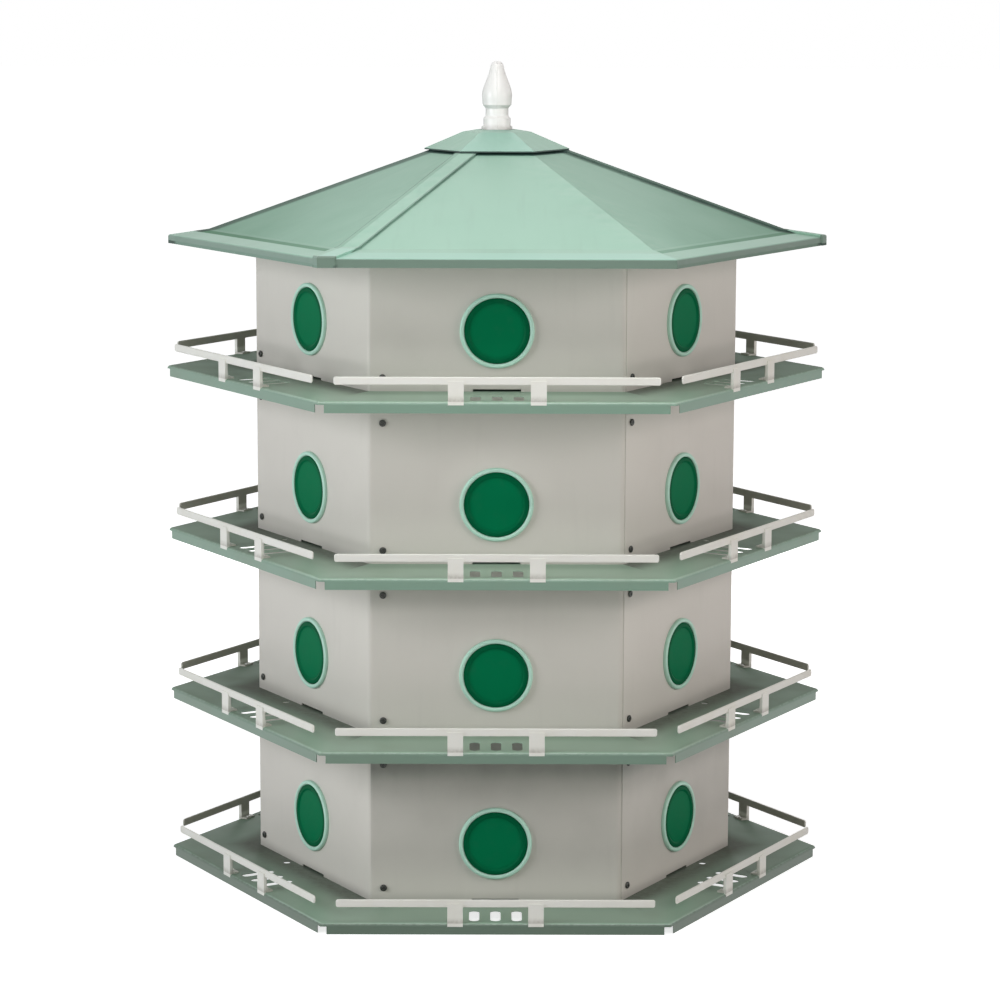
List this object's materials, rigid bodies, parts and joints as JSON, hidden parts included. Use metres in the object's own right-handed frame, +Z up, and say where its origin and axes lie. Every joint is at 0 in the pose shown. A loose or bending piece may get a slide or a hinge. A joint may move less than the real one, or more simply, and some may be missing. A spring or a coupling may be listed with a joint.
{
  "type": "purple martin birdhouse",
  "caption": "Hexagonal multi-storey martin house in folded sheet metal, with railed porch trays, plugged round entrances, a flared hip roof and a finial.",
  "frame": {"origin": "centre of the lowest porch tray, at the level of the lower edge of its lip", "axes": "+Z up along the pole, the front side faces -Y"},
  "size_m": [0.61, 0.5282, 0.7478],
  "materials": {
    "porch_green": "satin",
    "roof_green": "satin",
    "wall_white": "satin",
    "rail_white": "satin",
    "ring_mint": "satin",
    "stop_green": "smooth",
    "finial_white": "smooth",
    "bare_aluminium": "mill"
  },
  "bodies": {
    "root": {"pole_sleeve": "bare_aluminium", "first_storey_tray": "porch_green", "first_storey_guard_rails": "rail_white", "first_storey_entrance_rings": "ring_mint", "first_storey_door_stops": "stop_green", "second_storey_tray": "porch_green", "second_storey_guard_rails": "rail_white", "second_storey_entrance_rings": "ring_mint", "second_storey_door_stops": "stop_green", "third_storey_tray": "porch_green", "third_storey_guard_rails": "rail_white", "third_storey_entrance_rings": "ring_mint", "third_storey_door_stops": "stop_green", "fourth_storey_tray": "porch_green", "fourth_storey_guard_rails": "rail_white", "fourth_storey_entrance_rings": "ring_mint", "fourth_storey_door_stops": "stop_green", "front_walls": "wall_white", "front_right_walls": "wall_white", "back_right_walls": "wall_white", "back_walls": "wall_white", "back_left_walls": "wall_white", "front_left_walls": "wall_white", "roof_left_sheet": "roof_green", "roof_front_sheet": "roof_green", "roof_back_sheet": "roof_green", "roof_cap": "roof_green", "finial": "finial_white"}
  },
  "joints": []
}
